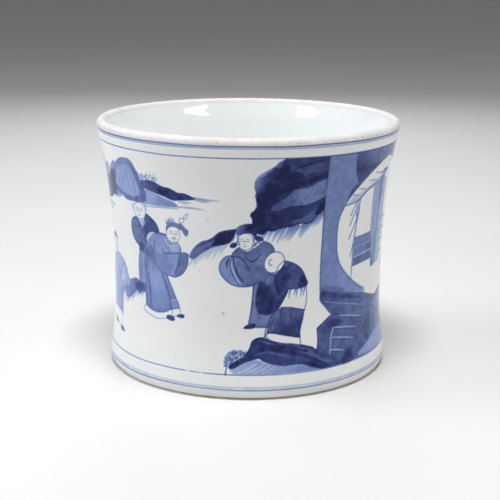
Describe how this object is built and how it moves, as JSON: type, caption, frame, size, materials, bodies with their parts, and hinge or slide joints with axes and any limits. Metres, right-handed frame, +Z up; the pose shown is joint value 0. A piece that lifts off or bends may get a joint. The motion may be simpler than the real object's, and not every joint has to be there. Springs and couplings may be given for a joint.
{
  "type": "brush pot",
  "caption": "Round porcelain brush pot with a slight waist, flared rounded lip, bare foot ring, cobalt rings at rim and foot and a figure-and-landscape scene painted under clear glaze.",
  "frame": {"origin": "centre of the plane that the foot ring stands on", "axes": "+Z up along the pot's axis; -Y towards the middle of the painted scene's front"},
  "size_m": [0.1828, 0.1828, 0.15],
  "materials": {
    "biscuit": "bare fired body, smooth and matt, slightly warm where it met the flame",
    "clear_glaze": "glossy, cool white with a faint blue tinge, cobalt painting underneath",
    "lip_glaze": "glossy, thinned over the edge with small warm frits",
    "inside_glaze": "glossy, plain cool white with faint throwing rings",
    "base_glaze": "glossy, plain cool white",
    "cobalt_dark": "brush-drawn cobalt line under clear glaze",
    "cobalt_pale": "pale brush-drawn cobalt line under clear glaze"
  },
  "bodies": {
    "root": {"porcelain_body": "biscuit", "outer_glaze": "clear_glaze", "lip_glaze": "lip_glaze", "inner_glaze": "inside_glaze", "base_glaze": "base_glaze", "rim_line_upper": "cobalt_dark", "rim_line_pale": "cobalt_pale", "rim_line_lower": "cobalt_dark", "foot_line_upper": "cobalt_dark", "foot_line_pale": "cobalt_pale", "foot_line_lower": "cobalt_dark"}
  },
  "joints": []
}
